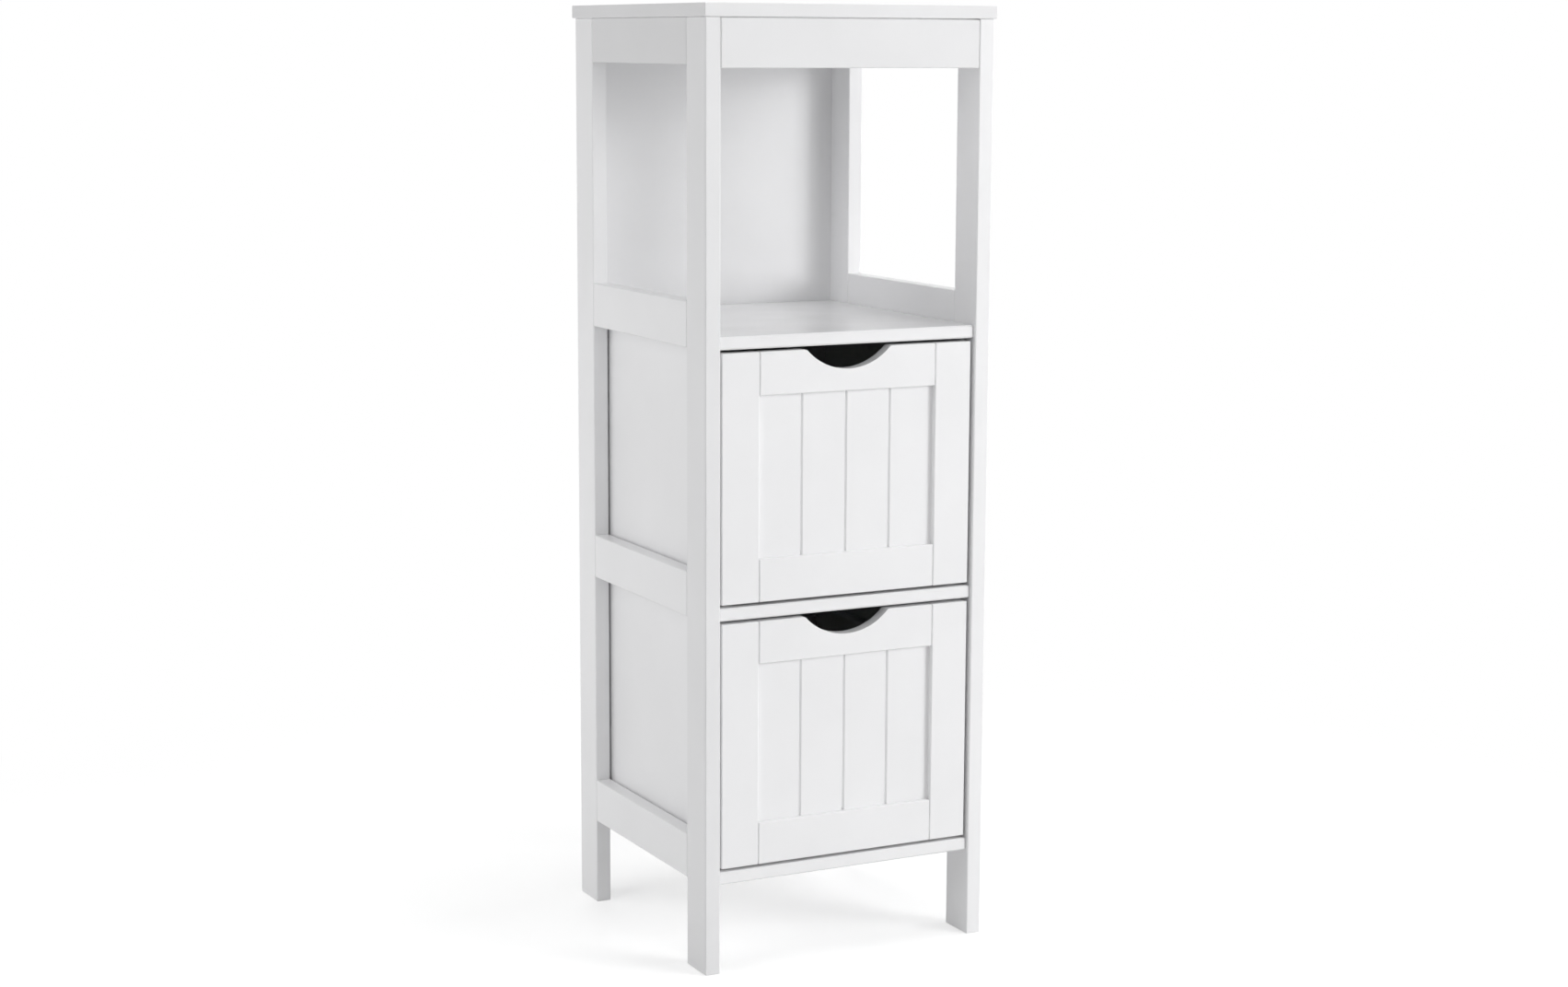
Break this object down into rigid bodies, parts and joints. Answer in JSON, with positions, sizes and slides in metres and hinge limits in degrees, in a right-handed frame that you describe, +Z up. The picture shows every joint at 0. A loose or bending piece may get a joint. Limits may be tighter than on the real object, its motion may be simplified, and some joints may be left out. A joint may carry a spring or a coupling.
{
  "type": "bathroom storage tower",
  "caption": "Slim white free-standing tower on straight legs, with an open compartment over push-in drawers that are pulled by finger cut-outs.",
  "frame": {"origin": "on the floor, under the middle of the top panel", "axes": "+Z up, +X to the right seen from the front, the drawer fronts face -Y and the drawers open towards -Y"},
  "size_m": [0.3, 0.3, 0.89],
  "materials": {
    "white_paint": "satin white paint on fibreboard",
    "inner_paint": "matt white foil on fibreboard",
    "thin_panel": "white lacquered hardboard",
    "dowel_wood": "bare beech",
    "fitting_metal": "zinc plated"
  },
  "bodies": {
    "cabinet": {"top_panel": "white_paint", "front_left_post": "white_paint", "front_right_post": "white_paint", "rear_left_post": "white_paint", "rear_right_post": "white_paint", "left_top_rail": "white_paint", "left_shelf_rail": "white_paint", "left_middle_rail": "white_paint", "left_bottom_rail": "white_paint", "right_top_rail": "white_paint", "right_shelf_rail": "white_paint", "right_middle_rail": "white_paint", "right_bottom_rail": "white_paint", "front_apron": "white_paint", "open_shelf": "white_paint", "drawer_divider": "white_paint", "bottom_board": "white_paint", "left_upper_infill": "white_paint", "left_lower_infill": "white_paint", "right_upper_infill": "white_paint", "right_lower_infill": "white_paint", "back_panel": "thin_panel", "left_frame_dowels": "dowel_wood", "right_frame_dowels": "dowel_wood", "carcass_dowels": "dowel_wood", "carcass_cam_bolts": "fitting_metal", "carcass_cam_locks": "fitting_metal", "back_panel_screws": "fitting_metal"},
    "upper_drawer": {"upper_drawer_left_stile": "white_paint", "upper_drawer_right_stile": "white_paint", "upper_drawer_top_rail": "white_paint", "upper_drawer_bottom_rail": "white_paint", "upper_drawer_panel": "white_paint", "upper_drawer_left_side": "inner_paint", "upper_drawer_right_side": "inner_paint", "upper_drawer_back": "inner_paint", "upper_drawer_bottom": "thin_panel", "upper_drawer_dowels": "dowel_wood", "upper_drawer_cam_bolts": "fitting_metal", "upper_drawer_cam_locks": "fitting_metal", "upper_drawer_screws": "fitting_metal"},
    "lower_drawer": {"lower_drawer_left_stile": "white_paint", "lower_drawer_right_stile": "white_paint", "lower_drawer_top_rail": "white_paint", "lower_drawer_bottom_rail": "white_paint", "lower_drawer_panel": "white_paint", "lower_drawer_left_side": "inner_paint", "lower_drawer_right_side": "inner_paint", "lower_drawer_back": "inner_paint", "lower_drawer_bottom": "thin_panel", "lower_drawer_dowels": "dowel_wood", "lower_drawer_cam_bolts": "fitting_metal", "lower_drawer_cam_locks": "fitting_metal", "lower_drawer_screws": "fitting_metal"}
  },
  "joints": [
    {"name": "upper_drawer_slide", "type": "slide", "parent": "cabinet", "child": "upper_drawer", "axis": [0, -1, 0], "range_m": [0, 0.2]},
    {"name": "lower_drawer_slide", "type": "slide", "parent": "cabinet", "child": "lower_drawer", "axis": [0, -1, 0], "range_m": [0, 0.2]}
  ]
}
